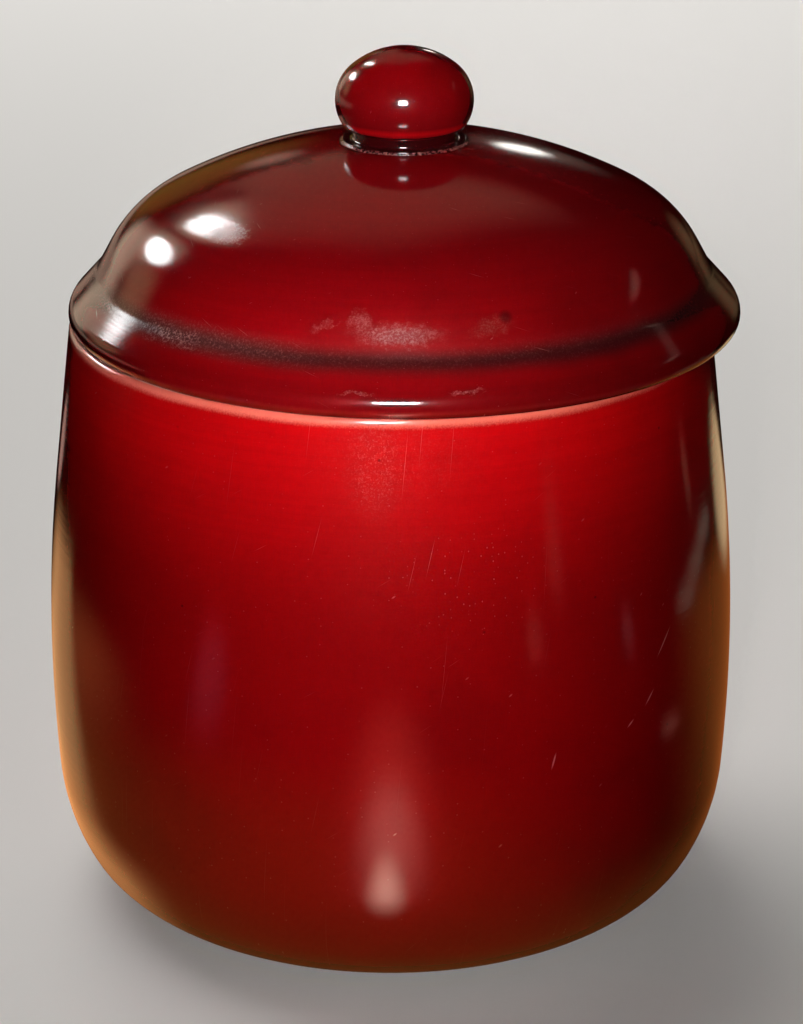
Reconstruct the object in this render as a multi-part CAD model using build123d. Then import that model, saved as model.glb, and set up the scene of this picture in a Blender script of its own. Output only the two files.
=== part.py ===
from build123d import *
from math import acos, asin, atan, atan2, cos, degrees, hypot, radians, sin, sqrt, tan
import os

# Lidded stoneware jar. Millimetres, +Z up. The pot's axis is Z and its foot stands on z = 0.
# Angles are in degrees, and a lean is measured from the vertical.

# Pot, outside
pot_h = 183.5             # foot to lip, where the lid sits
belly_r = 105.0
mouth_inset = 9.0         # the mouth is this much narrower than the belly, on each side
upper_curve_share = 0.808  # of the one arc that would reach from belly to mouth; the rest runs straight
belly_curve = 505.0       # bulge of the side below its widest place
hip_curve = 61.0          # where the side turns under
corner_curve = 28.4       # the round between side and underside
hip_start = 4.0           # angles below the widest place at which these two begin
corner_start = 27.2

# Pot, wall and foot ring
wall = 6.5
base = 7.5
inside_corner_curve = 20.0
foot_inset = 43.0         # belly to the outside of the foot ring
foot_w = 8.0
foot_h = 3.5
lip_round_share = 0.34    # of the wall
foot_round_share = 0.28   # of the foot ring's height

# Lid, outside
lid_shift = 4.15          # the lid lies off centre on the mouth, towards +X
rim_overhang = 4.3        # past the outside of the mouth, if the lid were centred
rim_w = 8.6               # from the cove, where dome and rim meet, out to the edge
rim_h = 5.6               # straight height of the edge before it is rounded
rim_curl_share = 0.6      # of that height that the lower round takes
rim_roll_share = 0.97     # of what is left, taken by the upper round
cove_h = 15.0             # seat to cove
cove_curve = 5.0
flank_lean = 28.7         # side of the dome
crown_lift = 10.1         # cove up to the crown's edge, before the shoulder is rounded
crown_drop = 29.6         # from the top of the crown down to its edge
shoulder_curve = 36.0

# Lid, wall and the locating ring under it
dome_wall = 6.0
inside_shoulder_curve = 22.0
ring_gap = 0.85           # left to the mouth where the lid is pushed over
ring_w = 5.6
ring_d = 10.0
ring_round_share = 0.3    # of the ring's width

# Knob
knob_r = 20.4
knob_top_h = 15.6         # from the widest place to the top
knob_side_share = 0.83    # radius of the ball's side, of that height; the top is flatter
knob_under_h = 7.7        # from the groove to the widest place
groove_d = 2.5
groove_h = 3.7
knob_foot_w = 2.9         # foot past the neck
knob_foot_h = 0.6
groove_round_share = 0.4  # of the least of the groove's sizes

# Places that follow from the sizes
mouth_r = belly_r - mouth_inset
base_z = foot_h + base
seat_z = pot_h
rim_r = mouth_r + rim_overhang
cove_r = rim_r - rim_w
cove_z = seat_z + cove_h
crown_z = cove_z + crown_lift + crown_drop
crown_curve = (cove_r ** 2 + crown_drop ** 2) / (2 * crown_drop)
crown_centre_z = crown_z - crown_curve
knob_side_curve = knob_top_h * knob_side_share
knob_edge_r = knob_r - knob_side_curve + sqrt(knob_side_curve ** 2 - knob_under_h ** 2)
knob_neck_r = knob_edge_r - groove_d
knob_foot_r = knob_neck_r + knob_foot_w
land_z = crown_centre_z + sqrt(crown_curve ** 2 - knob_foot_r ** 2)  # flat on the crown, under the knob


def heading(angle):
    """Direction in the half outline, turned up from the outward one."""
    return Vector(cos(radians(angle)), sin(radians(angle)))


def corners(shape, *points):
    """The corners of an outline that lie nearest to the points."""
    return [shape.vertices().sort_by_distance(point)[0] for point in points]


def block(r0, z0, r1, z1):
    """Upright rectangle in the half outline, between two radii and two heights."""
    return Pos(r0, z0) * Rectangle(r1 - r0, z1 - z0, align=Align.MIN)


def disc(centre_z, radius):
    """Round blank in the half outline, centred on the axis."""
    return Pos(0, centre_z) * Circle(radius)


def spun(outline):
    """Solid of a half outline turned about the Z axis."""
    return revolve(Plane.XZ * outline, Axis.Z)


# Centres of the arcs down the pot's side, each tangent to the next
corner_z = foot_h + corner_curve
hip_z = corner_z + (hip_curve - corner_curve) * sin(radians(corner_start))
belly_z = hip_z + (belly_curve - hip_curve) * sin(radians(hip_start))
belly_centre = Vector(belly_r - belly_curve, belly_z)
hip_centre = belly_centre + heading(-hip_start) * (belly_curve - hip_curve)
upper_curve = upper_curve_share * ((pot_h - belly_z) ** 2 + mouth_inset ** 2) / (2 * mouth_inset)
upper_centre = Vector(belly_r - upper_curve, belly_z)
to_mouth = Vector(mouth_r, pot_h) - upper_centre
taper = degrees(atan2(to_mouth.Y, to_mouth.X) - acos(upper_curve / hypot(to_mouth.X, to_mouth.Y)))
mouth_inner_r = mouth_r - wall / cos(radians(taper))


def pot_half(inset, rim_at_r, floor_z, corner):
    """Everything inside the side moved in by the inset, from the floor up to the mouth."""
    swing = hip_curve - inset - corner
    meet = degrees(asin((hip_z - floor_z - corner) / swing))
    under = CenterArc(hip_centre + heading(-meet) * swing, corner, -90, 90 - meet)
    hip = CenterArc(hip_centre, hip_curve - inset, -meet, meet - hip_start)
    belly = CenterArc(belly_centre, belly_curve - inset, -hip_start, hip_start)
    upper = CenterArc(upper_centre, upper_curve - inset, 0, taper)
    rest = Polyline(upper @ 1, (rim_at_r, pot_h), (0, pot_h), (0, floor_z), under @ 0)
    return make_face(Curve() + [under, hip, belly, upper, rest])


def make_pot():
    """Jar with an even wall, a rounded lip and a turned foot ring."""
    foot_r = belly_r - foot_inset
    foot_inner_r = foot_r - foot_w
    outline = pot_half(0, mouth_r, foot_h, corner_curve)
    outline -= pot_half(wall, mouth_inner_r, base_z, inside_corner_curve)
    outline += block(foot_inner_r, 0, foot_r, base_z)
    outline = fillet(outline.vertices().group_by(Axis.Y)[-1], wall * lip_round_share)
    feet = corners(outline, (foot_inner_r, 0), (foot_r, 0), (foot_inner_r, foot_h), (foot_r, foot_h))
    return spun(fillet(feet, foot_h * foot_round_share))


def dome_half():
    """Outside of the lid as a full shape: rim, cove, flank, shoulder and crown."""
    edge_z = seat_z + rim_h
    flank_r = cove_r - (crown_z - cove_z) * tan(radians(flank_lean))
    shell = Polyline((0, seat_z), (rim_r, seat_z), (rim_r, edge_z), (cove_r, cove_z),
                     (flank_r, crown_z), (0, crown_z), close=True)
    outline = make_face(shell) & disc(crown_centre_z, crown_curve) & block(0, seat_z, rim_r, land_z)
    outline = fillet(corners(outline, (flank_r, crown_z)), shoulder_curve)
    outline = fillet(corners(outline, (cove_r, cove_z)), cove_curve)
    curl = rim_h * rim_curl_share
    flare = atan(rim_w / (cove_h - rim_h))
    roll = (rim_h - curl) * rim_roll_share / tan(flare / 2)
    outline = fillet(corners(outline, (rim_r, seat_z)), curl)
    return fillet(corners(outline, (rim_r, edge_z)), roll)


def make_lid():
    """Hollow dome with its rim, and the ring below the seat that drops into the mouth."""
    ring_r = mouth_inner_r - lid_shift - ring_gap
    bore_r = ring_r - ring_w
    ring_z = seat_z - ring_d
    hollow = block(0, ring_z, bore_r, crown_z) & disc(crown_centre_z, crown_curve - dome_wall)
    hollow = fillet(corners(hollow, (bore_r, crown_z)), inside_shoulder_curve)
    outline = dome_half() + block(0, ring_z, ring_r, seat_z + dome_wall) - hollow
    edges = corners(outline, (bore_r, ring_z), (ring_r, ring_z), (ring_r, seat_z))
    return Pos(lid_shift, 0, 0) * spun(fillet(edges, ring_w * ring_round_share))


def ball_half(low_z):
    """Flattened ball, cut off level below: a round side that runs smoothly into a flatter top."""
    middle_z = low_z + knob_under_h
    reach = knob_r - knob_side_curve
    rise = knob_top_h - knob_side_curve
    drop = (reach ** 2 - rise ** 2) / (2 * rise)
    meet = degrees(atan2(drop, reach))
    cut = degrees(asin(knob_under_h / knob_side_curve))
    side = CenterArc((reach, middle_z), knob_side_curve, -cut, cut + meet)
    top = CenterArc((0, middle_z - drop), knob_top_h + drop, meet, 90 - meet)
    return make_face(Curve() + [side, top, Polyline(top @ 1, (0, low_z), side @ 0)])


def make_lid_knob():
    """Flattened ball on a short grooved neck, flat below where it was joined to the crown."""
    foot_z = land_z + knob_foot_h
    ball_z = foot_z + groove_h
    outline = ball_half(ball_z) + block(0, land_z, knob_neck_r, ball_z)
    outline += block(0, land_z, knob_foot_r, foot_z)
    groove = corners(outline, (knob_edge_r, ball_z), (knob_neck_r, ball_z), (knob_neck_r, foot_z))
    groove_round = groove_round_share * min(groove_h, groove_d, knob_foot_w)
    return Pos(lid_shift, 0, 0) * spun(fillet(groove, groove_round))


os.makedirs("parts", exist_ok=True)
for node, solid in (("pot", make_pot()), ("lid", make_lid()), ("lid_knob", make_lid_knob())):
    export_step(solid, f"parts/{node}.step")
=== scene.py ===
from math import acos, asin, atan, atan2, ceil, cos, hypot, pi, radians, sin, sqrt, tan

import bmesh
import bpy
from bpy.props import FloatProperty, FloatVectorProperty, IntProperty, PointerProperty
from mathutils import Euler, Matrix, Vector


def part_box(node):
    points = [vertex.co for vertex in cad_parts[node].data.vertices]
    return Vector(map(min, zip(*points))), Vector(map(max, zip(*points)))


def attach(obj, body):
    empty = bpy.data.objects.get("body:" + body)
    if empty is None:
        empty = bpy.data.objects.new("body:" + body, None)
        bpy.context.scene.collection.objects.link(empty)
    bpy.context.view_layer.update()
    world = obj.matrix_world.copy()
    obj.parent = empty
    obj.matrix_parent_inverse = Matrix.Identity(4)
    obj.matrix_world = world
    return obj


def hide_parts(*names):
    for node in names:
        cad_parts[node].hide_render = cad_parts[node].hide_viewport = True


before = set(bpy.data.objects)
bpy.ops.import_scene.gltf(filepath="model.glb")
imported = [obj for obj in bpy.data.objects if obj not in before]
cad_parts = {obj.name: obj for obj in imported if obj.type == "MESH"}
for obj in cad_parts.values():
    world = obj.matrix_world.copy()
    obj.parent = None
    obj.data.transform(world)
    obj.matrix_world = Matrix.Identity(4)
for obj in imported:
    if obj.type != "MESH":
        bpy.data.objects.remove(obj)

bl_info = {
    "name": "Rumtopf Jar",
    "version": (1, 0, 0),
    "blender": (4, 5, 0),
    "location": "3D View > Sidebar > Rumtopf",
    "description": "Lidded stoneware jar under a deep red glaze, with a soft studio around it",
    "category": "Add Mesh",
}

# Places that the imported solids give
POT_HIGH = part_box("pot")[1]
LID_LOW, LID_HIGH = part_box("lid")
KNOB_LOW, KNOB_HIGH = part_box("lid_knob")
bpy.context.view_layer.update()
MM = 0.001

# Finest detail of the turned outlines
LONGEST_STEP = 2.2 * MM
SHARPEST_STEP = radians(6)
EDGE_GUARD = 0.25 * MM      # short run kept beside every round, so that flat faces shade flat
SAME_PLACE = 0.001 * MM

# Sockets of a Mix node that mixes colours: the lower colour, the upper one and the result
MIX_UNDER, MIX_OVER, MIX_RESULT = 6, 7, 2
NO_LIGHT = (0.0, 0.0, 0.0, 1.0)
GLASS_IOR = 1.52
COAT_IOR = 1.5
RELIEF = 0.08 * MM          # depth that a bump of height 1 stands for
SKIN_R = 100 * MM           # radius at which a turned surface is unrolled


def length(name, description, millimetres):
    """Property for a size, given here in millimetres."""
    return FloatProperty(name=name, description=description, default=millimetres * MM,
                         min=0.0, precision=5, unit="LENGTH", subtype="DISTANCE")


def share(name, description, part):
    """Property for a share of another size."""
    return FloatProperty(name=name, description=description, default=part, min=0.0, max=1.0,
                         subtype="FACTOR")


def angle(name, description, degrees):
    """Property for an angle, given here in degrees."""
    return FloatProperty(name=name, description=description, default=radians(degrees),
                         unit="ROTATION", subtype="ANGLE")


def tone(name, description, red, green, blue):
    """Property for a colour, in linear light."""
    return FloatVectorProperty(name=name, description=description, default=(red, green, blue),
                               size=3, min=0.0, max=1.0, subtype="COLOR")


def power(name, description, watts):
    """Property for the power of a lamp."""
    return FloatProperty(name=name, description=description, default=watts, min=0.0, unit="POWER")


class PotSizes(bpy.types.PropertyGroup):
    """Sizes of the jar's body"""
    height: length("Height", "Foot to lip", POT_HIGH.z / MM)
    belly_r: length("Belly radius", "Widest place of the side", POT_HIGH.x / MM)
    mouth_inset: length("Mouth inset", "How much narrower the mouth is, on each side", 9.0)
    upper_share: share("Upper curve", "Share of the upper side that is curved", 0.808)
    belly_curve: length("Belly curve", "Bulge of the side below its widest place", 505.0)
    hip_curve: length("Hip curve", "Round where the side turns under", 61.0)
    corner_curve: length("Corner curve", "Round between side and underside", 28.4)
    hip_start: angle("Hip start", "Where the hip begins, below the widest place", 4.0)
    corner_start: angle("Corner start", "Where the corner begins, below the widest place", 27.2)
    wall: length("Wall", "Thickness of the side", 6.5)
    base: length("Base", "Thickness of the floor", 7.5)
    inside_corner: length("Inside corner", "Round between wall and floor inside", 20.0)
    foot_inset: length("Foot inset", "Belly to the outside of the foot ring", 43.0)
    foot_w: length("Foot width", "Width of the foot ring", 8.0)
    foot_h: length("Foot height", "Height of the foot ring", 3.5)
    lip_round: length("Lip round", "Round on both sides of the lip", 2.21)
    foot_round: length("Foot round", "Round on the foot ring's edges", 0.98)


class LidSizes(bpy.types.PropertyGroup):
    """Sizes of the lid"""
    rim_w: length("Rim width", "Cove out to the edge", 8.6)
    rim_h: length("Rim height", "Straight height of the edge before it is rounded", 5.6)
    curl_share: share("Curl share", "Share of the edge taken by the lower round", 0.6)
    roll_share: share("Roll share", "Share of what is left that the upper round takes", 0.97)
    cove_h: length("Cove height", "Seat to cove", 15.0)
    cove_curve: length("Cove curve", "Hollow between rim and dome", 5.0)
    flank_lean: angle("Flank lean", "Lean of the dome's side from the vertical", 28.7)
    crown_lift: length("Crown lift", "Cove up to the crown's edge", 10.1)
    crown_drop: length("Crown drop", "Top of the crown down to its edge", 29.6)
    shoulder: length("Shoulder", "Round between flank and crown", 36.0)
    wall: length("Wall", "Thickness of the dome", 6.0)
    inside_shoulder: length("Inside shoulder", "Round inside, between ring and dome", 22.0)
    ring_w: length("Ring width", "Thickness of the ring that drops into the mouth", 5.6)
    ring_gap: length("Ring gap", "Least gap between the ring and the mouth", 0.85)
    ring_round: length("Ring round", "Round on the ring's edges", 1.68)


class KnobSizes(bpy.types.PropertyGroup):
    """Sizes of the knob"""
    top_h: length("Top height", "Widest place to the top", 15.6)
    side_share: share("Side share", "Radius of the ball's side, of that height", 0.83)
    under_h: length("Under height", "Groove to the widest place", 7.7)
    groove_d: length("Groove depth", "Neck behind the ball's lower edge", 2.5)
    groove_h: length("Groove height", "Straight part of the neck", 3.7)
    foot_w: length("Foot width", "Foot past the neck", 2.9)
    foot_h: length("Foot height", "Edge of the foot", 0.6)
    groove_round: length("Groove round", "Rounds in and beside the groove", 1.0)
    joint_fill: length("Joint fill", "Hollow of glaze run into the joint with the crown", 0.9)


class GlazeColours(bpy.types.PropertyGroup):
    """Colours of glaze, clay and dust"""
    deep: tone("Deep glaze", "Thick glaze on the jar's side", 0.222, 0.0007, 0.0018)
    # The bright glaze is partly painted light: it brightens the jar's side below the lip for light
    # from above, and paints a reflection on the knob
    bright: tone("Bright glaze", "Thinner glaze below the lip", 0.62, 0.0022, 0.0045)
    lid: tone("Lid glaze", "Glaze on the lid's flank and rim", 0.285, 0.0012, 0.0040)
    # The crown's darker glaze is partly painted shade on the lid's top
    crown: tone("Crown glaze", "Glaze on top of the lid", 0.190, 0.0015, 0.0035)
    # Besides real pooling, this dark glaze paints shade: in the cove, in the knob's groove, on the
    # lid's right side and low on the rim
    pool_and_shade: tone("Pooled glaze", "Glaze run thick in a hollow", 0.030, 0.0012, 0.0016)
    # Also painted faintly on the rim's lower curl as a reflection
    thin: tone("Thin glaze", "Glaze drawn thin over an edge, with clay showing", 0.96, 0.19, 0.135)
    clay: tone("Clay", "Bare clay where the jar stood in the kiln", 0.52, 0.40, 0.29)
    dust: tone("Dust", "Dust and lint", 0.60, 0.27, 0.24)


class StudioLook(bpy.types.PropertyGroup):
    """Light, floor and camera"""
    camera_distance: length("Camera distance", "Camera to the jar's axis, along the floor", 923.8)
    camera_height: length("Camera height", "Camera above the floor", 468.4)
    camera_aside: length("Camera aside", "Camera to the right of the jar's axis", 3.3)
    camera_pitch: angle("Camera pitch", "How far the camera looks down", 20.669)
    lens: FloatProperty(name="Lens", description="Focal length", default=113.0, min=1.0,
                        subtype="DISTANCE_CAMERA")
    floor_r: length("Floor radius", "Size of the round floor", 6000.0)
    floor: tone("Floor", "Colour of the floor", 0.74, 0.72, 0.69)
    backdrop: tone("Backdrop", "Colour behind the floor's edge", 0.70, 0.68, 0.65)
    table: tone("Table", "Sunlit table top that the glaze mirrors from below", 1.0, 0.48, 0.19)
    ambient: share("Ambient", "Even light on the jar from all round", 0.03)
    key: power("Key", "Lamp beside the camera that lights the front", 0.205)
    glint: power("Glint", "Lamp above the camera that shows in the gloss alone", 14.0)
    sky: FloatProperty(name="Sky", description="Soft light from above that reaches the floor alone",
                       default=1.45, min=0.0)
    fill: power("Back fill", "Lamp above and behind the jar", 9.0)
    low: power("Low fill", "Low lamp behind the jar, kept off the floor", 10.0)


class RumtopfSettings(bpy.types.PropertyGroup):
    """All settings of the jar"""
    pot: PointerProperty(type=PotSizes)
    lid: PointerProperty(type=LidSizes)
    knob: PointerProperty(type=KnobSizes)
    colours: PointerProperty(type=GlazeColours)
    studio: PointerProperty(type=StudioLook)
    turns: IntProperty(name="Turning steps", description="Facets round each piece", default=122,
                       min=24, max=360)


def heading(turn):
    """Direction in the half outline, turned up from the outward one."""
    return Vector((cos(turn), sin(turn)))


class HalfOutline:
    """Half outline of a turned piece, drawn as a chain of vertices over radius and height."""

    def __init__(self, radius, height):
        self.bm = bmesh.new()
        self.tip = self.bm.verts.new((radius, 0.0, height))
        self.way = None

    def step_to(self, radius, height):
        """One edge to a place."""
        made = bmesh.ops.extrude_vert_indiv(self.bm, verts=[self.tip])
        self.tip = made["verts"][0]
        self.tip.co = (radius, 0.0, height)

    def line(self, end):
        """Straight run, with a short edge kept at both ends."""
        start = Vector((self.tip.co.x, self.tip.co.z))
        run = Vector(end) - start
        if run.length < SAME_PLACE:
            return
        places = []
        if run.length > 3 * EDGE_GUARD:
            guard = EDGE_GUARD / run.length
            count = ceil(run.length / LONGEST_STEP)
            places = [guard + (1 - 2 * guard) * i / count for i in range(count + 1)]
        for place in [*places, 1.0]:
            self.step_to(*(start + run * place))
        self.way = run.normalized()

    def arc(self, centre, turn):
        """Round about a centre, anticlockwise where the turn is positive."""
        reach = hypot(self.tip.co.x - centre[0], self.tip.co.z - centre[1])
        count = max(2, ceil(abs(turn) / SHARPEST_STEP), ceil(abs(turn) * reach / LONGEST_STEP))
        made = bmesh.ops.spin(self.bm, geom=[self.tip], cent=(centre[0], 0.0, centre[1]),
                              axis=(0.0, -1.0, 0.0), angle=turn, steps=count, use_merge=False)
        self.tip = next(v for v in made["geom_last"] if isinstance(v, bmesh.types.BMVert))
        outward = Vector((self.tip.co.x - centre[0], self.tip.co.z - centre[1])).normalized()
        side = 1 if turn > 0 else -1
        self.way = Vector((-outward.y, outward.x)) * side

    def corner(self, point, towards, radius):
        """Straight run to a corner and a tangent round there, on the way to the next place."""
        point = Vector(point)
        before = (point - Vector((self.tip.co.x, self.tip.co.z))).normalized()
        after = (Vector(towards) - point).normalized()
        turn = atan2(before.x * after.y - before.y * after.x, before.dot(after))
        self.line(point - before * radius * tan(abs(turn) / 2))
        side = 1 if turn > 0 else -1
        end = Vector((self.tip.co.x, self.tip.co.z))
        self.arc(end + Vector((-before.y, before.x)) * radius * side, turn)

    def turned(self, name, turns, axis_x):
        """Closed mesh object of the outline turned about its upright axis."""
        bmesh.ops.translate(self.bm, verts=self.bm.verts, vec=(axis_x, 0.0, 0.0))
        bmesh.ops.spin(self.bm, geom=self.bm.verts[:] + self.bm.edges[:], cent=(axis_x, 0.0, 0.0),
                       axis=(0.0, 0.0, 1.0), angle=2 * pi, steps=turns, use_merge=True)
        bmesh.ops.remove_doubles(self.bm, verts=self.bm.verts, dist=SAME_PLACE)
        bmesh.ops.recalc_face_normals(self.bm, faces=self.bm.faces)
        for face in self.bm.faces:
            face.smooth = True
        mesh = bpy.data.meshes.new(name)
        self.bm.to_mesh(mesh)
        self.bm.free()
        piece = bpy.data.objects.new(name, mesh)
        bpy.context.scene.collection.objects.link(piece)
        return piece


def add_pot_side(outline, sizes, arcs, inset, corner, floor_z, upwards):
    """Side of the jar from floor to mouth or back, moved in from the outside by the inset."""
    swing = sizes.hip_curve - inset - corner
    meet = asin((arcs["hip"].y - floor_z - corner) / swing)
    under = arcs["hip"] + heading(-meet) * swing
    mouth = arcs["upper"] + heading(arcs["taper"]) * (arcs["upper_r"] - inset)
    if upwards:
        outline.line((under.x, floor_z))
        outline.arc(under, pi / 2 - meet)
        outline.arc(arcs["hip"], meet - sizes.hip_start)
        outline.arc(arcs["belly"], sizes.hip_start)
        outline.arc(arcs["upper"], arcs["taper"])
    else:
        outline.line(mouth)
        outline.arc(arcs["upper"], -arcs["taper"])
        outline.arc(arcs["belly"], -sizes.hip_start)
        outline.arc(arcs["hip"], sizes.hip_start - meet)
        outline.arc(under, meet - pi / 2)


def pot_arcs(sizes):
    """Centres and turns of the rounds down the jar's side, each tangent to the next."""
    corner_z = sizes.foot_h + sizes.corner_curve
    hip_z = corner_z + (sizes.hip_curve - sizes.corner_curve) * sin(sizes.corner_start)
    belly_z = hip_z + (sizes.belly_curve - sizes.hip_curve) * sin(sizes.hip_start)
    belly = Vector((sizes.belly_r - sizes.belly_curve, belly_z))
    rise = sizes.height - belly_z
    upper_r = sizes.upper_share * (rise ** 2 + sizes.mouth_inset ** 2) / (2 * sizes.mouth_inset)
    upper = Vector((sizes.belly_r - upper_r, belly_z))
    to_mouth = Vector((sizes.belly_r - sizes.mouth_inset, sizes.height)) - upper
    return {
        "belly": belly,
        "hip": belly + heading(-sizes.hip_start) * (sizes.belly_curve - sizes.hip_curve),
        "upper": upper,
        "upper_r": upper_r,
        "taper": atan2(to_mouth.y, to_mouth.x) - acos(upper_r / to_mouth.length),
    }


def mouth_radii(sizes):
    """Outer and inner radius of the mouth."""
    outer = sizes.belly_r - sizes.mouth_inset
    return outer, outer - sizes.wall / cos(pot_arcs(sizes)["taper"])


def pot_outline(sizes):
    """Jar from the middle of its underside round the foot ring, up the side and down inside."""
    arcs = pot_arcs(sizes)
    mouth_r, mouth_inner_r = mouth_radii(sizes)
    foot_r = sizes.belly_r - sizes.foot_inset
    inner_r = foot_r - sizes.foot_w
    under_z = sizes.foot_h
    outline = HalfOutline(0.0, under_z)
    outline.corner((inner_r, under_z), (inner_r, 0.0), sizes.foot_round)
    outline.corner((inner_r, 0.0), (foot_r, 0.0), sizes.foot_round)
    outline.corner((foot_r, 0.0), (foot_r, under_z), sizes.foot_round)
    outline.corner((foot_r, under_z), (sizes.belly_r, under_z), sizes.foot_round)
    add_pot_side(outline, sizes, arcs, 0.0, sizes.corner_curve, under_z, True)
    outline.corner((mouth_r, sizes.height), (mouth_inner_r, sizes.height), sizes.lip_round)
    inner_mouth = arcs["upper"] + heading(arcs["taper"]) * (arcs["upper_r"] - sizes.wall)
    outline.corner((mouth_inner_r, sizes.height), inner_mouth, sizes.lip_round)
    floor_z = sizes.foot_h + sizes.base
    add_pot_side(outline, sizes, arcs, sizes.wall, sizes.inside_corner, floor_z, False)
    outline.line((0.0, floor_z))
    return outline


def lid_places(lid, pot):
    """Radii and heights that the lid's outline is built on."""
    seat_z = pot.height
    rim_r = (LID_HIGH.x - LID_LOW.x) / 2
    cove = Vector((rim_r - lid.rim_w, seat_z + lid.cove_h))
    crown_z = cove.y + lid.crown_lift + lid.crown_drop
    crown_curve = (cove.x ** 2 + lid.crown_drop ** 2) / (2 * lid.crown_drop)
    flank = Vector((-sin(lid.flank_lean), cos(lid.flank_lean)))
    return {
        "seat_z": seat_z, "rim_r": rim_r, "cove": cove, "crown_z": crown_z, "flank": flank,
        "crown_curve": crown_curve, "crown_centre": Vector((0.0, crown_z - crown_curve)),
        "ring_z": LID_LOW.z, "axis_x": (LID_HIGH.x + LID_LOW.x) / 2,
    }


def rounded_dome(outline, foot, flank, crown_centre, crown_curve, shoulder, upwards):
    """Flank, shoulder and crown up to the axis, each tangent to the next, or back down."""
    inward = Vector((-flank.y, flank.x))
    reach = foot + inward * shoulder - crown_centre
    along = -reach.dot(flank) + sqrt(reach.dot(flank) ** 2 - reach.length ** 2
                                     + (crown_curve - shoulder) ** 2)
    centre = foot + inward * shoulder + flank * along
    out = centre - crown_centre
    shoulder_end = atan2(out.y, out.x)
    shoulder_start = atan2(-inward.y, -inward.x)
    top = pi / 2
    if upwards:
        outline.line(foot + flank * along)
        outline.arc(centre, shoulder_end - shoulder_start)
        outline.arc(crown_centre, top - shoulder_end)
    else:
        outline.arc(crown_centre, shoulder_end - top)
        outline.arc(centre, shoulder_start - shoulder_end)
        outline.line(foot)


def lid_outline(lid, pot):
    """Lid from under the dome down the ring, out along the seat, round the rim and up the dome."""
    at = lid_places(lid, pot)
    ring_r = mouth_radii(pot)[1] - at["axis_x"] - lid.ring_gap
    bore_r = ring_r - lid.ring_w
    inside_curve = at["crown_curve"] - lid.wall
    outline = HalfOutline(0.0, at["crown_centre"].y + inside_curve)
    upright = Vector((0.0, 1.0))
    rounded_dome(outline, Vector((bore_r, at["seat_z"])), upright, at["crown_centre"],
                 inside_curve, lid.inside_shoulder, False)
    outline.corner((bore_r, at["ring_z"]), (ring_r, at["ring_z"]), lid.ring_round)
    outline.corner((ring_r, at["ring_z"]), (ring_r, at["seat_z"]), lid.ring_round)
    outline.corner((ring_r, at["seat_z"]), (at["rim_r"], at["seat_z"]), lid.ring_round)
    edge = Vector((at["rim_r"], at["seat_z"] + lid.rim_h))
    curl = lid.rim_h * lid.curl_share
    flare = atan(lid.rim_w / (lid.cove_h - lid.rim_h))
    roll = (lid.rim_h - curl) * lid.roll_share / tan(flare / 2)
    outline.corner((at["rim_r"], at["seat_z"]), edge, curl)
    outline.corner(edge, at["cove"], roll)
    outline.corner(at["cove"], at["cove"] + at["flank"], lid.cove_curve)
    rounded_dome(outline, at["cove"], at["flank"], at["crown_centre"], at["crown_curve"],
                 lid.shoulder, True)
    return outline


def knob_outline(knob, lid, pot):
    """Knob from the crown up its grooved neck and over the flattened ball."""
    at = lid_places(lid, pot)
    land_z = KNOB_LOW.z
    knob_r = (KNOB_HIGH.x - KNOB_LOW.x) / 2
    side = knob.top_h * knob.side_share
    edge_r = knob_r - side + sqrt(side ** 2 - knob.under_h ** 2)
    neck_r = edge_r - knob.groove_d
    foot_r = neck_r + knob.foot_w
    foot_z = land_z + knob.foot_h
    low_z = foot_z + knob.groove_h
    middle_z = low_z + knob.under_h
    reach, rise = knob_r - side, knob.top_h - side
    drop = (reach ** 2 - rise ** 2) / (2 * rise)
    meet = atan2(drop, reach)
    cut = asin(knob.under_h / side)
    spread_r = foot_r + knob.joint_fill
    spread = Vector((spread_r, at["crown_centre"].y + sqrt(at["crown_curve"] ** 2 - spread_r ** 2)))
    outline = HalfOutline(0.0, land_z)
    outline.line((foot_r, land_z))
    outline.line(spread)
    outline.line((foot_r + knob.joint_fill / 3, land_z + knob.foot_h / 5))
    outline.line((foot_r, land_z + knob.foot_h / 2))
    outline.corner((foot_r, foot_z), (neck_r, foot_z), knob.foot_h / 3)
    outline.corner((neck_r, foot_z), (neck_r, low_z), knob.groove_round)
    outline.corner((neck_r, low_z), (edge_r, low_z), knob.groove_round)
    outline.line((edge_r, low_z))
    outline.arc((reach, middle_z), cut + meet)
    outline.arc((0.0, middle_z - drop), pi / 2 - meet)
    return outline


class Value:
    """Number or colour that varies over a surface. Sums on it add Math nodes."""

    def __init__(self, finish, socket):
        self.finish, self.socket = finish, socket

    def sum(self, operation, *parts):
        """Output of one Math node."""
        return self.finish.node("ShaderNodeMath", {"operation": operation}, dict(enumerate(parts)))

    def __add__(self, other):
        return self.sum("ADD", self, other)

    def __sub__(self, other):
        return self.sum("SUBTRACT", self, other)

    def __rsub__(self, other):
        return self.sum("SUBTRACT", other, self)

    def __mul__(self, other):
        return self.sum("MULTIPLY", self, other)

    def __pow__(self, other):
        return self.sum("POWER", self, other)

    def __abs__(self):
        return self.sum("ABSOLUTE", self)

    __radd__ = __add__
    __rmul__ = __mul__


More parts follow.
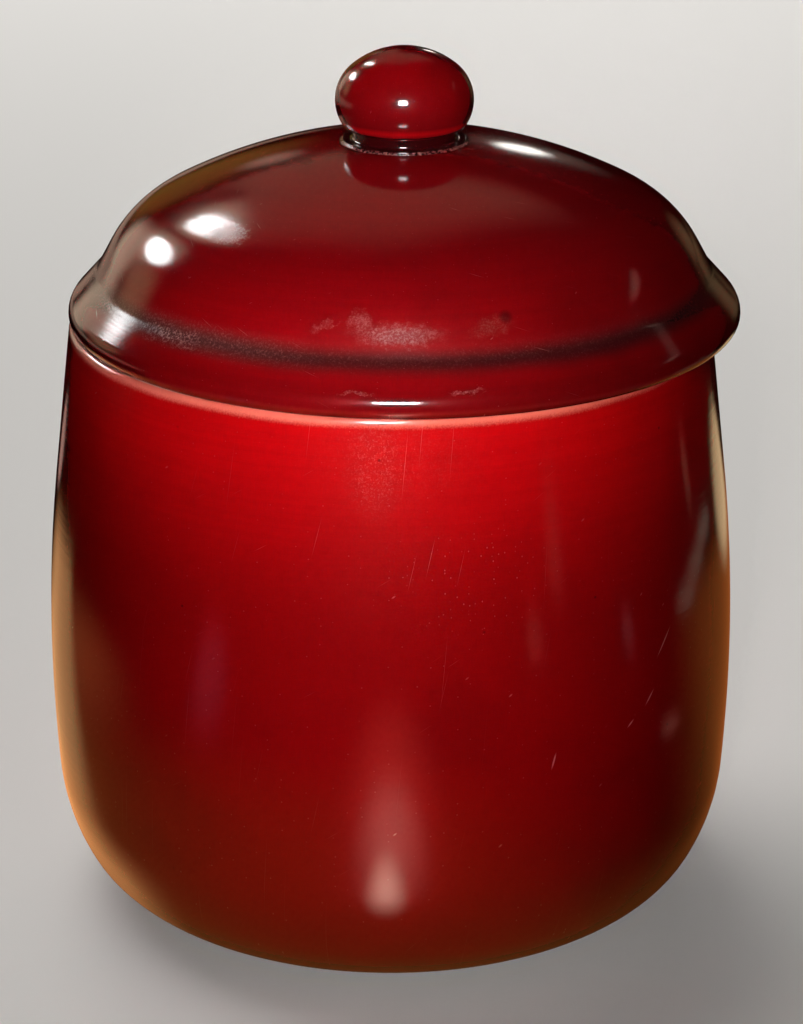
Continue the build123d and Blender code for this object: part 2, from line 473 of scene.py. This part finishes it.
class Finish:
    """Nodes of one material, or of the world."""

    def __init__(self, owner):
        owner.use_nodes = True
        self.owner, self.tree = owner, owner.node_tree
        self.tree.nodes.clear()

    def node(self, kind, settings=None, sockets=None, output=0):
        """Adds a node, with its settings first and then its sockets, and gives one output."""
        made = self.tree.nodes.new(kind)
        for key, setting in (settings or {}).items():
            setattr(made, key, setting)
        for key, given in (sockets or {}).items():
            if isinstance(given, Value):
                self.tree.links.new(given.socket, made.inputs[key])
            else:
                made.inputs[key].default_value = given
        return Value(self, made.outputs[output]) if made.outputs else None

    def ease(self, number, low, high):
        """Number eased from 0 to 1 between two bounds, which may run backwards."""
        return self.node("ShaderNodeMapRange", {"interpolation_type": "SMOOTHSTEP"},
                         {"Value": number, "From Min": low, "From Max": high})

    def band(self, number, middle, half):
        """Soft band about a middle, 1 there and 0 past the half width."""
        return self.ease(abs(number - middle), half, 0.0)

    def over(self, factor, under, colour):
        """Colour laid over another by a factor."""
        return self.node("ShaderNodeMix", {"data_type": "RGBA"},
                         {"Factor": factor, MIX_UNDER: under, MIX_OVER: colour}, MIX_RESULT)

    def noise(self, place, scale, detail, rough, output=0):
        """Soft noise about one half."""
        return self.node("ShaderNodeTexNoise", None, {
            "Vector": place, "Scale": scale, "Detail": detail, "Roughness": rough}, output)

    def parts(self, place):
        """The three numbers of a place."""
        first = self.node("ShaderNodeSeparateXYZ", None, {0: place})
        return [Value(self, socket) for socket in first.socket.node.outputs]

    def moved(self, place, **steps):
        """Place through one Mapping node per step, in the order given."""
        for key, amount in steps.items():
            place = self.node("ShaderNodeMapping", None, {"Vector": place, key: amount})
        return place

    def bearing(self, x, y):
        """How far round a place lies, from the back; negative on the left."""
        return x.sum("ARCTAN2", x, y)

    def wandering(self, place, scale, reach):
        """Place pushed about by noise, for ragged outlines."""
        push = self.noise(place, scale, 3.0, 0.65, "Color")
        centred = self.node("ShaderNodeVectorMath", {"operation": "SUBTRACT"},
                            {0: push, 1: (0.5, 0.5, 0.5)})
        return self.node("ShaderNodeVectorMath", {"operation": "MULTIPLY_ADD"},
                         {0: centred, 1: (reach, reach, 0.0), 2: place})

    def patch(self, place, centre, halves, core=0.25, turn=0.0):
        """Soft round patch on a flat place, full over its core."""
        spread = self.moved(place, Location=(-centre[0], -centre[1], 0.0),
                            Rotation=(0.0, 0.0, turn),
                            Scale=(1 / halves[0], 1 / halves[1], 0.0))
        away = self.node("ShaderNodeVectorMath", {"operation": "LENGTH"}, {0: spread}, "Value")
        return self.ease(away, 1.0, core)

    def marks(self, place, spacing, half, long_half, kept, turn=0.0):
        """Scattered specks or scratches of one size on a flat place, on a share of its cells."""
        spread = self.moved(place, Rotation=(0.0, 0.0, turn),
                            Scale=(1 / spacing, half / (spacing * long_half), 0.0))
        cells = {"voronoi_dimensions": "2D"}, {"Vector": spread, "Scale": 1.0}
        near = self.ease(self.node("ShaderNodeTexVoronoi", *cells), half / spacing, 0.0)
        chance = self.parts(self.node("ShaderNodeTexVoronoi", *cells, "Color"))[0]
        return near * self.ease(chance, 1 - kept, 1.0)

    def ray(self, kind):
        """Mask that is 1 for one kind of ray."""
        return self.node("ShaderNodeLightPath", None, None, f"Is {kind} Ray")


def full(colour):
    """Colour with its alpha."""
    return (*colour, 1.0)


def dimmed(colour, part):
    """Colour at a part of its strength."""
    return full([band * part for band in colour])


# How the noises of the glaze are stretched: fine rings from throwing, and broad smears
THROWING_LINES = (9.0, 9.0, 520.0)
SMEARS = (40.0, 40.0, 90.0)
HAIR_SPACING = 1.0 * MM

# Areas of the unrolled skin: middle and half sizes in metres, core and lean
HANDLED = (-0.003, 0.055), (0.060, 0.065), 0.3      # most hairlines, on the jar's front
HAZE = (-0.0040, 0.0715), (0.010, 0.022)            # dull streak below the lip
RUBBED = (0.002, 0.0760), (0.034, 0.024), 0.2       # thinner powder round it
WORN = (0.024, 0.036), (0.030, 0.022)               # pale specks beside the middle
SPOT = (0.0326, 0.1215), (0.003, 0.0035)            # dark spot low on the dome
CRACKLE = (-0.0800, 0.1525), (0.0135, 0.0062), 0.4  # dust by the highlight on the left
CRUMBS = (-0.078, 0.1045), (0.017, 0.0050)          # coarse dust in the cove, on the left
WARM = (0.0270, 0.1180), (0.0095, 0.0045), 0.2, radians(-20)    # smudge tinted like clay

# Wear on the unrolled skin. Each row: middle and half sizes in metres, core, lean in degrees and
# strength
SCRAPES = (     # on the jar's right side
    ((0.0862, 0.0012), (0.00034, 0.0060), 0.4, 38, 0.6),
    ((0.0798, -0.0145), (0.00034, 0.0034), 0.4, 40, 0.6),
    ((0.0722, -0.0204), (0.00034, 0.0020), 0.4, 50, 0.6),
    ((0.0460, -0.0253), (0.00034, 0.0031), 0.4, 15, 0.6),
)
SMUDGES = (     # dust on the front of the dome
    ((-0.0020, 0.1166), (0.0180, 0.0060), 0.25, 0, 1.0),
    ((-0.0142, 0.1215), (0.0045, 0.0050), 0.3, 20, 0.8),
    ((-0.0251, 0.1187), (0.0060, 0.0018), 0.3, -25, 0.6),
)
LINT = (        # on the front of the rim
    ((-0.0135, 0.0920), (0.0060, 0.0012), 0.3, 0, 1.0),
    ((0.0175, 0.0926), (0.0055, 0.0014), 0.3, 0, 1.0),
)


class Glaze(Finish):
    """Glaze over clay on one turned piece, with its colours laid one over another."""

    def __init__(self, name, axis_x, ground):
        """Starts from one colour, with the grain and the wear that every piece shows."""
        super().__init__(bpy.data.materials.new(name))
        self.colour = full(ground)
        self.place = self.node("ShaderNodeTexCoord", None, None, "Object")
        self.x, self.y, self.z = self.parts(self.place)
        self.skin = self.unrolled(axis_x)
        self.lines = self.noise(self.moved(self.place, Scale=THROWING_LINES), 1.0, 3.0, 0.6)
        self.clouds = self.noise(self.place, 17.0, 3.0, 0.55)
        self.grain = self.noise(self.place, 1900.0, 2.0, 0.6)
        specks = self.marks(self.skin, 0.0037, 0.00032, 0.00032, 0.3)
        crumbs = self.marks(self.skin, 0.0115, 0.00034, 0.0009, 0.3, radians(50))
        self.wear = specks * 0.2 + crumbs * 0.4

    def unrolled(self, axis_x):
        """Turned surface laid flat: metres round from the front, and metres up and in."""
        x, y, z = self.parts(self.moved(self.place, Location=(-axis_x, 0.0, 0.0)))
        away = (x * x + y * y) ** 0.5
        aside = self.bearing(x, y * -1.0) * SKIN_R
        return self.node("ShaderNodeCombineXYZ", None, {"X": aside, "Y": z - away})

    def coat(self, factor, tint):
        """Lays a tint over the colours so far."""
        self.colour = self.over(factor, self.colour, full(tint))

    def hairlines(self, half, long_half, kept, lean):
        """Fine scratches that lean one way, on a share of their cells."""
        return self.marks(self.skin, HAIR_SPACING, half, long_half, kept, radians(lean))

    def dusted(self, rows, place):
        """Patches of wear, each at its own strength."""
        total = None
        for centre, halves, core, lean, strength in rows:
            patch = self.patch(place, centre, halves, core, radians(lean)) * strength
            total = patch if total is None else total + patch
        return total

    def close(self, roughness, height, clay, bare):
        """Glossy glass over the colours, and bare clay where the mask says."""
        normal = self.node("ShaderNodeBump", None, {
            "Height": height, "Strength": 1.0, "Distance": RELIEF})
        glass = self.node("ShaderNodeBsdfPrincipled", None, {
            "Base Color": self.colour, "Roughness": roughness, "IOR": GLASS_IOR, "Normal": normal,
            "Coat Weight": 0.06, "Coat Roughness": 0.3, "Coat IOR": COAT_IOR})
        fired = self.node("ShaderNodeBsdfPrincipled", None, {
            "Base Color": full(clay), "Roughness": 0.85, "Specular IOR Level": 0.25,
            "Normal": normal})
        mixed = self.node("ShaderNodeMixShader", None, {0: bare, 1: glass, 2: fired})
        self.node("ShaderNodeOutputMaterial", None, {"Surface": mixed})
        return self.owner


def pot_glaze(colours, pot):
    """Deep red glaze, brighter below the lip from thinner glaze and painted light from above, and
    thin over it, with bare clay on the foot.
    """
    glaze = Glaze("pot_glaze", 0.0, colours.deep)
    x, y, z, skin = glaze.x, glaze.y, glaze.z, glaze.skin
    lines, clouds, grain = glaze.lines, glaze.clouds, glaze.grain

    # Brighter towards the lip: thinner glaze there, and partly painted light falling from above
    edge = z + (lines - 0.5) * 0.004 + (clouds - 0.5) * 0.02
    brightness = glaze.ease(edge, 0.108, pot.height + 0.004)
    glaze.coat(brightness ** 1.5, colours.bright)
    glaze.coat(glaze.ease(lines, 0.66, 0.34) * (0.04 + brightness * 0.07), colours.deep)
    glaze.coat(glaze.ease(clouds, 0.5, 0.75) * 0.25, colours.pool_and_shade)
    # Darker towards the foot, where the side turns under
    glaze.coat(glaze.ease(z, 0.02, 0.006) * 0.7, colours.pool_and_shade)
    run = glaze.ease(y, 0.0, -0.09) * 0.0003 + glaze.ease(x, -0.08, 0.06) * 0.0007
    lip = glaze.ease(z + run + (grain - 0.5) * 0.0014 + (clouds - 0.5) * 0.002,
                     pot.height - 0.0030, pot.height - 0.0008)
    glaze.coat(lip, colours.thin)
    glaze.coat(glaze.marks(skin, 0.03, 0.0007, 0.0007, 0.3) * 0.75, colours.pool_and_shade)

    handled = 0.25 + glaze.patch(skin, *HANDLED) * 0.75
    hairs = (glaze.hairlines(0.00014, 0.015, 0.07, 5) + glaze.hairlines(0.00014, 0.008, 0.05, 12)
             + glaze.hairlines(0.00012, 0.0030, 0.03, 55)) * handled
    powder = glaze.ease(glaze.noise(glaze.place, 1500.0, 3.0, 0.75), 0.46, 0.72)
    haze = glaze.patch(glaze.wandering(skin, 240.0, 0.006), *HAZE)
    rubbed = glaze.patch(glaze.wandering(skin, 90.0, 0.010), *RUBBED)
    worn = glaze.patch(skin, *WORN) * glaze.marks(skin, 0.0017, 0.00028, 0.0004, 0.4)
    wear = (glaze.wear + hairs * 0.28 + haze * (0.01 + powder * 0.10) + rubbed * powder * 0.05
            + worn * 0.4 + glaze.dusted(SCRAPES, skin))
    glaze.coat(wear, colours.dust)

    streaks = glaze.noise(glaze.moved(glaze.place, Scale=SMEARS), 1.0, 4.0, 0.6)
    smear = glaze.ease(streaks, 0.45, 0.75)
    roughness = 0.085 + smear * 0.05 + wear * 0.3 + lip * 0.03 + (grain - 0.5) * 0.03
    height = (lines - 0.5) * 0.5 + (clouds - 0.5) * 1.5 - wear * 0.5 + (grain - 0.5) * 0.12
    land = glaze.ease(z, pot.height - 0.00025, pot.height - 0.0001)
    bare = glaze.ease(z + (grain - 0.5) * 0.0006, 0.0022, 0.0016) + land * 0.6
    return glaze.close(roughness, height, colours.clay, bare)


def lid_glaze(colours, lid, pot, axis_x):
    """Darker red glaze, run thick in the cove and painted nearly black there as its shade, with
    dust caught there.
    """
    glaze = Glaze("lid_glaze", axis_x, colours.crown)
    x, z, skin = glaze.x, glaze.z, glaze.skin
    lines, clouds, grain = glaze.lines, glaze.clouds, glaze.grain
    lint = glaze.noise(glaze.place, 1500.0, 3.0, 0.75)
    coarse = glaze.ease(lint, 0.42, 0.66)
    ragged = glaze.wandering(skin, 300.0, 0.010)

    cove_z = pot.height + lid.cove_h
    wobble = z + (clouds - 0.5) * 0.002
    # Lighter glaze from the cove down; the crown above keeps the darker glaze as painted shade on
    # the top
    glaze.coat(glaze.ease(z, cove_z + 0.030, cove_z + 0.004), colours.lid)
    glaze.coat(glaze.ease(clouds, 0.5, 0.72) * 0.3, colours.pool_and_shade)
    glaze.coat(glaze.ease(lines, 0.6, 0.4) * 0.06, colours.pool_and_shade)
    # Painted shade: the lid darkens towards its right side
    glaze.coat(glaze.ease(x, -0.02, 0.09) * 0.32, colours.pool_and_shade)
    # Darker low on the rim: glaze run thick there, and painted shade where the rim curls under
    glaze.coat(glaze.ease(z, cove_z - 0.003, cove_z - 0.009) * 0.28, colours.pool_and_shade)
    # The cove: glaze run thick there, and painted nearly black as the cove's shade
    glaze.coat(glaze.band(wobble, cove_z - 0.0006, 0.0046) * 0.93, colours.pool_and_shade)
    # Painted reflection: a faint pale line on the rim's lower curl
    glaze.coat(glaze.band(wobble, pot.height + 0.0024, 0.0012) * 0.03, colours.thin)
    glaze.coat(glaze.patch(skin, *SPOT) * 0.6, colours.pool_and_shade)

    crackle = glaze.patch(glaze.wandering(skin, 420.0, 0.016), *CRACKLE)
    crumbs = glaze.patch(ragged, *CRUMBS)
    fluff = glaze.band(z, cove_z + 0.0002, 0.0052) * (0.02 + glaze.ease(lint, 0.46, 0.8) * 0.09)
    fluff = fluff * (1.0 + glaze.ease(x, -0.01, -0.05) * 2.4)
    dusty = (glaze.dusted(SMUDGES, ragged) * (0.08 + coarse * 0.24)
             + crackle * (0.12 + coarse * 0.28) + crumbs * coarse * 0.3
             + glaze.dusted(LINT, ragged) * (0.1 + coarse * 0.3) + fluff)
    wear = glaze.wear * 0.8 + dusty + glaze.hairlines(0.00014, 0.0040, 0.03, -62) * 0.3
    glaze.coat(glaze.patch(ragged, *WARM) * (0.02 + coarse * 0.07), colours.clay)
    glaze.coat(wear, colours.dust)

    roughness = 0.075 + wear * 0.4 + (grain - 0.5) * 0.03 + glaze.ease(clouds, 0.45, 0.8) * 0.04
    height = (lines - 0.5) * 0.3 + (clouds - 0.5) * 1.2 + wear * 0.5 + (grain - 0.5) * 0.12
    ring = glaze.ease(z + (grain - 0.5) * 0.0006, pot.height - 0.0088, pot.height - 0.0094)
    return glaze.close(roughness, height, colours.clay, ring)


def knob_glaze(colours, knob, axis_x):
    """Red glaze on the knob, run thick and painted nearly black as shade in its groove, with a
    painted reflection in a band just above it.
    """
    glaze = Glaze("knob_glaze", axis_x, colours.crown)
    z, lines, clouds, grain = glaze.z, glaze.lines, glaze.clouds, glaze.grain

    low_z = KNOB_LOW.z + knob.foot_h + knob.groove_h
    glaze.coat(glaze.ease(z, low_z + 0.004, KNOB_HIGH.z - 0.004), colours.lid)
    glaze.coat(0.1 + glaze.ease(clouds, 0.35, 0.7) * 0.5, colours.pool_and_shade)
    # Painted reflection: a brighter band on the ball's underside, just above the groove
    glaze.coat(glaze.band(z, low_z + 0.0016, 0.0016) * 0.4, colours.bright)
    # The groove: glaze run thick, and painted nearly black as its shade
    glaze.coat(glaze.ease(z, low_z + 0.0008, low_z - 0.0012), colours.pool_and_shade)
    joint = glaze.ease(z + (grain - 0.5) * 0.001, KNOB_LOW.z + 0.0007, KNOB_LOW.z)
    lint = glaze.ease(glaze.noise(glaze.place, 1100.0, 3.0, 0.7), 0.42, 0.6)
    wear = glaze.wear + joint * lint * 0.3
    glaze.coat(wear, colours.dust)

    roughness = 0.07 + wear * 0.4 + (grain - 0.5) * 0.03
    height = (lines - 0.5) * 0.5 + (clouds - 0.5) * 0.5 + wear * 0.5 + (grain - 0.5) * 0.1
    return glaze.close(roughness, height, colours.clay, 0.0)


def stand_in_for(piece, node, body, material):
    """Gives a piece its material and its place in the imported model."""
    piece.data.materials.append(material)
    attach(piece, body)
    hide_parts(node)


class RUMTOPF_OT_pot(bpy.types.Operator):
    """Turn the jar's body and glaze it"""
    bl_idname = "rumtopf.pot"
    bl_label = "Jar body"

    def execute(self, context):
        settings = context.scene.rumtopf
        piece = pot_outline(settings.pot).turned("pot_body", settings.turns, 0.0)
        stand_in_for(piece, "pot", "pot", pot_glaze(settings.colours, settings.pot))
        return {"FINISHED"}


class RUMTOPF_OT_lid(bpy.types.Operator):
    """Turn the lid and glaze it"""
    bl_idname = "rumtopf.lid"
    bl_label = "Lid"

    def execute(self, context):
        settings = context.scene.rumtopf
        axis_x = lid_places(settings.lid, settings.pot)["axis_x"]
        piece = lid_outline(settings.lid, settings.pot).turned("lid_dome", settings.turns, axis_x)
        finish = lid_glaze(settings.colours, settings.lid, settings.pot, axis_x)
        stand_in_for(piece, "lid", "lid", finish)
        return {"FINISHED"}


class RUMTOPF_OT_knob(bpy.types.Operator):
    """Turn the knob and glaze it"""
    bl_idname = "rumtopf.knob"
    bl_label = "Knob"

    def execute(self, context):
        settings = context.scene.rumtopf
        axis_x = lid_places(settings.lid, settings.pot)["axis_x"]
        outline = knob_outline(settings.knob, settings.lid, settings.pot)
        piece = outline.turned("lid_handle", settings.turns, axis_x)
        finish = knob_glaze(settings.colours, settings.knob, axis_x)
        stand_in_for(piece, "lid_knob", "lid", finish)
        return {"FINISHED"}


def softbox(name, place, target, size, watts, spread):
    """Soft rectangular lamp aimed at a place; the spread narrows its beam."""
    lamp = bpy.data.lights.new(name, "AREA")
    lamp.shape, lamp.size, lamp.size_y = "RECTANGLE", *size
    lamp.energy, lamp.spread = watts, spread
    made = bpy.data.objects.new(name, lamp)
    made.location = place
    made.rotation_euler = (Vector(target) - made.location).to_track_quat("-Z", "Y").to_euler()
    bpy.context.scene.collection.objects.link(made)
    return made


# Light of the room that the glaze mirrors, each row over the ones before. Bearings are from
# straight behind the jar, negative on the left. Each row: bearing, height, two half sizes and
# lean (all in degrees), core, and red, green and blue.
ROOM = (
    (-15.0, 8.0, 11.0, 13.0, 0.0, 0.40, (0.21, 0.115, 0.022)),  # olive cloth behind
    (-10.8, 17.0, 3.6, 5.0, 0.0, 0.20, (0.60, 0.40, 0.30)),     # its lit upper edge
    (-58.0, 12.0, 13.0, 15.0, 0.0, 0.30, (0.75, 0.50, 0.28)),   # wall on the left
    (-42.0, 17.0, 17.0, 16.0, 0.0, 0.20, (0.75, 0.45, 0.30)),   # wall round the windows
    (-35.0, 7.0, 13.0, 15.0, 0.0, 0.40, (1.25, 0.95, 0.68)),    # pale curtain by the window
    (71.0, 26.5, 14.0, 2.6, 27.6, 0.30, (0.72, 0.45, 0.36)),    # edge of a door on the right
    (28.0, 2.0, 10.0, 10.5, 0.0, 0.15, (0.21, 0.125, 0.062)),   # dull wall behind, on the right
    (-44.0, 25.5, 16.0, 11.5, 38.0, 0.35, (1.80, 1.40, 1.00)),  # light round both windows
    (-29.8, 36.0, 14.0, 7.5, 56.0, 0.30, (1.90, 1.35, 0.95)),
    (-20.3, 27.0, 3.4, 7.0, 0.0, 0.20, (0.04, 0.01, 0.01)),     # dark frame beside them
    (-46.2, 25.0, 11.0, 6.0, 18.0, 0.80, (14.0, 14.0, 14.0)),   # the two windows
    (-29.2, 36.1, 8.2, 2.8, 70.0, 0.80, (14.0, 14.0, 14.0)),
    (8.6, 11.0, 6.0, 9.0, 0.0, 0.20, (0.16, 0.14, 0.11)),       # lamp behind, and its glow
    (8.2, 12.2, 2.3, 4.1, 0.0, 0.50, (5.0, 5.0, 4.6)),
)
# Light of what lies on the table. Each row: bearing in degrees, then in millimetres the distance
# from the jar's axis and the half sizes across and along the bearing, core, and light.
TABLE = (
    (40.0, 482.0, 94.0, 165.0, 0.50, (1.05, 0.70, 0.37)),       # bright stretch behind
    (61.0, 508.0, 70.0, 44.0, 0.30, (0.40, 0.29, 0.22)),        # slanting streak on the right
    (69.0, 466.0, 62.0, 42.0, 0.30, (0.40, 0.29, 0.22)),
    (77.0, 424.0, 62.0, 42.0, 0.30, (0.40, 0.29, 0.22)),
    (68.0, 690.0, 20.0, 110.0, 0.30, (0.38, 0.22, 0.15)),       # narrow streak beyond it
    (93.0, 247.0, 29.0, 14.0, 0.20, (0.58, 0.22, 0.16)),        # spot nearer the jar
    (-34.0, 515.0, 36.0, 90.0, 0.60, (0.60, 0.33, 0.27)),       # streak behind, on the left
    (-127.0, 430.0, 52.0, 180.0, 0.30, (0.18, 0.11, 0.19)),     # violet streak in front
    (28.0, 3300.0, 590.0, 2500.0, 0.15, (0.18, 0.108, 0.053)),  # floor towards the dull wall
    (128.0, 980.0, 55.0, 400.0, 0.30, (0.28, 0.16, 0.13)),      # faint streaks on the right
    (137.0, 560.0, 34.0, 125.0, 0.30, (0.34, 0.19, 0.15)),
    (105.0, 458.0, 24.0, 80.0, 0.30, (0.26, 0.17, 0.19)),
    (180.0, 285.0, 80.0, 190.0, 0.05, (2.30, 0.20, 0.15)),      # the lamp's glow before the jar
    (180.0, 215.0, 40.0, 85.0, 0.05, (3.60, 1.20, 1.00)),
    (181.0, 165.0, 17.0, 40.0, 0.0, (8.60, 4.90, 3.80)),
)
# Lit part of the ceiling: middle and half sizes as bearing and height, and core
CEILING_PATCH = (radians(-5), radians(41)), (radians(36), radians(30)), 0.55
CEILING_TINT = (0.32, 0.19, 0.13)
AMBIENT_TINT = (1.0, 0.9, 0.8)
# Tints of the table's broad stretches
FAR_TINT = (0.45, 0.30, 0.22)
FRONT_TINT = (0.34, 0.10, 0.02)
LEFT_TINT = (0.55, 0.13, 0.04)
RIGHT_TINT = (0.38, 0.10, 0.02)
FOOT_TINT = (1.32, 0.54, 0.18)


def table_light(finish, place, look):
    """Light of the table top as the glaze mirrors it, one stretch laid over another."""
    x, y = finish.parts(place)[:2]
    away = (x * x + y * y) ** 0.5
    near = finish.ease(away, 0.48, 0.36)
    far = finish.ease(away, 0.9, 1.6) * finish.ease(x, -0.1, -0.5) * finish.ease(y, 0.0, 0.4)
    front = finish.ease(away, 0.32, 0.16) * finish.ease(x, 0.18, 0.0)
    left = finish.patch(place, (-0.300, 0.060), (0.110, 0.160), 0.1)
    right = finish.ease(x, 0.04, 0.13) * finish.ease(y - x * 0.25, -0.10, 0.06) * near
    broad = (far, FAR_TINT), (front, FRONT_TINT), (left, LEFT_TINT), (right, RIGHT_TINT)
    light = NO_LIGHT
    for mask, tint in broad:
        light = finish.over(mask, light, full(tint))

    # Sunlight falls across the left in a slanting stripe, warmest at the jar's foot
    across = y + x * 1.05
    sunlit = finish.ease(across, -0.19, -0.135) * finish.ease(across, 0.12, -0.02) * near
    sunlit = sunlit * finish.ease(x, 0.02, -0.07) * finish.ease(y - x * 0.5, -0.035, 0.015)
    amber = finish.over(finish.ease(away, 0.19, 0.13), full(look.table), full(FOOT_TINT))
    light = finish.over(sunlit, light, amber)
    for turn, reach, half_across, half_along, core, tint in TABLE:
        centre = reach * MM * sin(radians(turn)), reach * MM * cos(radians(turn))
        halves = half_across * MM, half_along * MM
        mask = finish.patch(place, centre, halves, core, radians(turn))
        light = finish.over(mask, light, full(tint))
    shade = finish.ease(away - y * 0.25, 0.118, 0.088) * 0.85
    return away, finish.over(shade, light, NO_LIGHT)


def floor_finish(look):
    """Pale floor to the eye, and a warm table top to what the glaze mirrors."""
    finish = Finish(bpy.data.materials.new("studio_floor"))
    place = finish.node("ShaderNodeTexCoord", None, None, "Object")
    away, light = table_light(finish, place, look)
    eye = finish.ray("Camera")
    glow = finish.over(finish.ray("Glossy"), NO_LIGHT, light)
    sweep = finish.over(finish.ease(away, 0.3, 2.6), dimmed(look.floor, 0.16),
                        dimmed(look.backdrop, 0.50))
    shader = finish.node("ShaderNodeBsdfPrincipled", None, {
        "Base Color": finish.over(eye, NO_LIGHT, full(look.floor)),
        "Roughness": 0.6, "Specular IOR Level": 0.0,
        "Emission Color": finish.over(eye, glow, sweep),
        "Emission Strength": 1.0})
    finish.node("ShaderNodeOutputMaterial", None, {"Surface": shader})
    return finish.owner


def studio_world(look):
    """Pale behind the jar to the eye, and a dim room with windows to what the glaze mirrors."""
    finish = Finish(bpy.data.worlds.new("studio_world"))
    x, y, z = finish.parts(finish.node("ShaderNodeTexCoord", None, None, "Generated"))
    flat = finish.node("ShaderNodeCombineXYZ", None, {
        "X": finish.bearing(x, y), "Y": z.sum("ARCSINE", z)})

    # The ceiling comes further down on the left, and is lit over the jar
    overhead = finish.ease(z, 0.56, 0.68)
    lower = finish.ease(z, 0.32, 0.44) * finish.ease(x, 0.0, -0.12)
    ceiling = overhead.sum("MAXIMUM", overhead, lower)
    ceiling = ceiling * finish.patch(flat, *CEILING_PATCH)
    light = finish.over(ceiling, NO_LIGHT, full(CEILING_TINT))
    for turn, height, half_turn, half_height, lean, core, tint in ROOM:
        centre = radians(turn), radians(height)
        halves = radians(half_turn), radians(half_height)
        mask = finish.patch(flat, centre, halves, core, radians(lean))
        light = finish.over(mask, light, full(tint))
    soft = full([look.ambient * part for part in AMBIENT_TINT])
    mirrored = finish.over(finish.ray("Glossy"), soft, light)
    colour = finish.over(finish.ray("Camera"), mirrored, full(look.backdrop))
    room = finish.node("ShaderNodeBackground", None, {"Color": colour, "Strength": 1.0})
    finish.node("ShaderNodeOutputWorld", None, {"Surface": room})
    return finish.owner


# Where the lamps stand and what they are aimed at. Key and glint stand beside the camera.
GLINT_OFFSET, GLINT_AIM = Vector((-0.04, -0.02, 0.096)), (0.0, 0.0, 0.19)
KEY_OFFSET, KEY_AIM = Vector((-0.076, 0.0, 0.0)), (0.003, 0.0, 0.19)
KEY_SPREAD = radians(15.8)      # narrow, so that the light fades below the lip
BACK_PLACE, BACK_AIM = (0.0, 1.7, 1.4), (0.0, 0.0, 0.12)
LOW_PLACE, LOW_AIM = (0.0, 1.5, 0.10), (0.0, 0.0, 0.10)
SKY_WAY = Vector((0.40, -0.42, -1.0))
SKY_ANGLE = radians(45)
SENSOR_W = 36.0


class RUMTOPF_OT_studio(bpy.types.Operator):
    """Set the floor, the lamps and the camera"""
    bl_idname = "rumtopf.studio"
    bl_label = "Studio"

    def execute(self, context):
        look = context.scene.rumtopf.studio
        bm = bmesh.new()
        bmesh.ops.create_circle(bm, cap_ends=True, segments=96, radius=look.floor_r)
        mesh = bpy.data.meshes.new("studio_floor")
        bm.to_mesh(mesh)
        bm.free()
        floor = bpy.data.objects.new("studio_floor", mesh)
        mesh.materials.append(floor_finish(look))
        context.scene.collection.objects.link(floor)
        context.scene.world = studio_world(look)

        sky = bpy.data.lights.new("sky", "SUN")
        sky.energy, sky.angle = look.sky, SKY_ANGLE
        above_floor = bpy.data.objects.new("sky", sky)
        above_floor.rotation_euler = SKY_WAY.to_track_quat("-Z", "Y").to_euler()
        context.scene.collection.objects.link(above_floor)
        floor_only = bpy.data.collections.new("floor_only")
        floor_only.objects.link(floor)
        above_floor.light_linking.receiver_collection = floor_only

        camera = bpy.data.objects.new("camera", bpy.data.cameras.new("camera"))
        camera.data.lens, camera.data.sensor_width = look.lens, SENSOR_W
        camera.location = (look.camera_aside, -look.camera_distance, look.camera_height)
        camera.rotation_euler = Euler((pi / 2 - look.camera_pitch, 0.0, 0.0))
        context.scene.collection.objects.link(camera)
        context.scene.camera = camera

        above = camera.location + GLINT_OFFSET
        glint = softbox("glint", above, GLINT_AIM, (0.22, 0.18), look.glint, pi)
        glint.visible_diffuse = False
        aside = camera.location + KEY_OFFSET
        key = softbox("key", aside, KEY_AIM, (0.10, 0.36), look.key, KEY_SPREAD)
        behind = softbox("fill_back", BACK_PLACE, BACK_AIM, (1.6, 1.6), look.fill, pi)
        low = softbox("fill_low", LOW_PLACE, LOW_AIM, (0.5, 0.2), look.low, pi)
        key.visible_glossy = behind.visible_glossy = low.visible_glossy = False
        off_floor = bpy.data.collections.new("off_floor")
        off_floor.objects.link(floor)
        off_floor.collection_objects[0].light_linking.link_state = "EXCLUDE"
        low.light_linking.receiver_collection = off_floor
        return {"FINISHED"}


class RUMTOPF_PT_sidebar(bpy.types.Panel):
    """Steps that make the jar"""
    bl_label = "Rumtopf"
    bl_idname = "RUMTOPF_PT_sidebar"
    bl_space_type = "VIEW_3D"
    bl_region_type = "UI"
    bl_category = "Rumtopf"

    def draw(self, context):
        settings = context.scene.rumtopf
        for operator, group in STEPS:
            self.layout.operator(operator.bl_idname)
            box = self.layout.box()
            for key in type(getattr(settings, group)).__annotations__:
                box.prop(getattr(settings, group), key)
        self.layout.prop(settings, "turns")
        for key in GlazeColours.__annotations__:
            self.layout.prop(settings.colours, key)


STEPS = ((RUMTOPF_OT_pot, "pot"), (RUMTOPF_OT_lid, "lid"), (RUMTOPF_OT_knob, "knob"),
         (RUMTOPF_OT_studio, "studio"))
CLASSES = (PotSizes, LidSizes, KnobSizes, GlazeColours, StudioLook, RumtopfSettings,
           *(operator for operator, group in STEPS), RUMTOPF_PT_sidebar)


def register():
    """Adds the jar's settings, steps and panel to Blender."""
    for cls in CLASSES:
        bpy.utils.register_class(cls)
    bpy.types.Scene.rumtopf = PointerProperty(type=RumtopfSettings)


def unregister():
    """Takes them out again."""
    del bpy.types.Scene.rumtopf
    for cls in reversed(CLASSES):
        bpy.utils.unregister_class(cls)


def main():
    """Makes the jar and its studio."""
    bpy.context.scene.view_settings.view_transform = "Standard"
    register()
    bpy.ops.rumtopf.pot()
    bpy.ops.rumtopf.lid()
    bpy.ops.rumtopf.knob()
    bpy.ops.rumtopf.studio()


if __name__ == "__main__":
    main()
